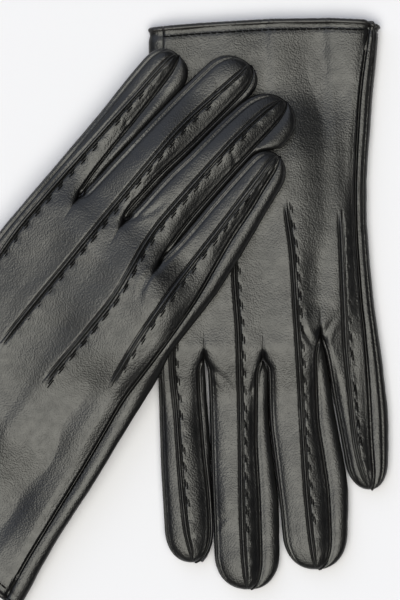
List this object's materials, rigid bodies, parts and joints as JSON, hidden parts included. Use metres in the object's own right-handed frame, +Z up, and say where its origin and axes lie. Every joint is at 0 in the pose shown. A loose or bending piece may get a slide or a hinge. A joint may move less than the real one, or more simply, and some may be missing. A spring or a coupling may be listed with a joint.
{
  "type": "pair of leather dress gloves",
  "caption": "Pair of lined leather dress gloves with raised, hand-stitched point lines and bound cuffs, one glove lying across the other.",
  "frame": {"origin": "centre of the pair's footprint, at the height of the table it lies on", "axes": "+Z up from the table; +Y toward the cuff of the left glove, whose fingers point toward -Y; +X toward the little finger of the left glove"},
  "size_m": [0.2412, 0.2594, 0.0303],
  "materials": {
    "leather": "satin",
    "leather_side": "satin",
    "binding": "satin",
    "lining": "matte",
    "thread": "satin"
  },
  "bodies": {
    "left_hand": {"left_back_panel": "leather", "left_palm_panel": "leather", "left_index_middle_fourchette": "leather_side", "left_middle_ring_fourchette": "leather_side", "left_ring_little_fourchette": "leather_side", "left_cuff_binding": "binding", "left_stitching": "thread", "left_back_lining": "lining", "left_palm_lining": "lining"},
    "left_index": {"left_index_back": "leather", "left_index_palm": "leather", "left_index_fourchette": "leather_side", "left_index_lining": "lining"},
    "left_middle": {"left_middle_back": "leather", "left_middle_palm": "leather", "left_middle_fourchettes": "leather_side", "left_middle_lining": "lining"},
    "left_ring": {"left_ring_back": "leather", "left_ring_palm": "leather", "left_ring_fourchettes": "leather_side", "left_ring_lining": "lining"},
    "left_little": {"left_little_back": "leather", "left_little_palm": "leather", "left_little_fourchette": "leather_side", "left_little_lining": "lining"},
    "left_thumb": {"left_thumb_outer": "leather", "left_thumb_inner": "leather", "left_thumb_lining": "lining"},
    "right_hand": {"right_back_panel": "leather", "right_palm_panel": "leather", "right_index_middle_fourchette": "leather_side", "right_middle_ring_fourchette": "leather_side", "right_ring_little_fourchette": "leather_side", "right_cuff_binding": "binding", "right_stitching": "thread", "right_back_lining": "lining", "right_palm_lining": "lining"},
    "right_index": {"right_index_back": "leather", "right_index_palm": "leather", "right_index_fourchette": "leather_side", "right_index_lining": "lining"},
    "right_middle": {"right_middle_back": "leather", "right_middle_palm": "leather", "right_middle_fourchettes": "leather_side", "right_middle_lining": "lining"},
    "right_ring": {"right_ring_back": "leather", "right_ring_palm": "leather", "right_ring_fourchettes": "leather_side", "right_ring_lining": "lining"},
    "right_little": {"right_little_back": "leather", "right_little_palm": "leather", "right_little_fourchette": "leather_side", "right_little_lining": "lining"},
    "right_thumb": {"right_thumb_outer": "leather", "right_thumb_inner": "leather", "right_thumb_lining": "lining"}
  },
  "joints": [
    {"name": "right_lift", "type": "slide", "parent": "left_hand", "child": "right_hand", "axis": [0, 0, 1], "range_m": [0, 0.12]},
    {"name": "left_index_bend", "type": "hinge", "parent": "left_hand", "child": "left_index", "pos_m": [0.0313, -0.0593, 0.0108], "axis": [-0.9992, -0.041, 0], "range_deg": [0, 50]},
    {"name": "left_middle_bend", "type": "hinge", "parent": "left_hand", "child": "left_middle", "pos_m": [0.05674, -0.06095, 0.0108], "axis": [-0.9998, -0.0216, 0], "range_deg": [0, 50]},
    {"name": "left_ring_bend", "type": "hinge", "parent": "left_hand", "child": "left_ring", "pos_m": [0.08569, -0.0585, 0.0108], "axis": [-0.9987, -0.0512, 0], "range_deg": [0, 50]},
    {"name": "left_little_bend", "type": "hinge", "parent": "left_hand", "child": "left_little", "pos_m": [0.10806, -0.03625, 0.0108], "axis": [-0.9912, -0.1322, 0.0004], "range_deg": [0, 50]},
    {"name": "right_index_bend", "type": "hinge", "parent": "right_hand", "child": "right_index", "pos_m": [0.00474, 0.08847, 0.02193], "axis": [0.7406, -0.6325, 0.2267], "range_deg": [0, 50]},
    {"name": "right_middle_bend", "type": "hinge", "parent": "right_hand", "child": "right_middle", "pos_m": [0.02372, 0.07634, 0.0263], "axis": [0.675, -0.7243, 0.1404], "range_deg": [0, 50]},
    {"name": "right_ring_bend", "type": "hinge", "parent": "right_hand", "child": "right_ring", "pos_m": [0.04256, 0.06052, 0.0272], "axis": [0.7201, -0.6939, 0], "range_deg": [0, 50]},
    {"name": "right_little_bend", "type": "hinge", "parent": "right_hand", "child": "right_little", "pos_m": [0.04989, 0.03775, 0.0272], "axis": [0.6704, -0.742, 0], "range_deg": [0, 50]},
    {"name": "left_thumb_swing", "type": "hinge", "parent": "left_hand", "child": "left_thumb", "pos_m": [0.04023, 0.05775, 0.0023], "axis": [0, 0, -1], "range_deg": [0, 25]},
    {"name": "right_thumb_swing", "type": "hinge", "parent": "right_hand", "child": "right_thumb", "pos_m": [-0.06478, -0.01654, 0.0023], "axis": [0, 0, 1], "range_deg": [0, 25]}
  ]
}
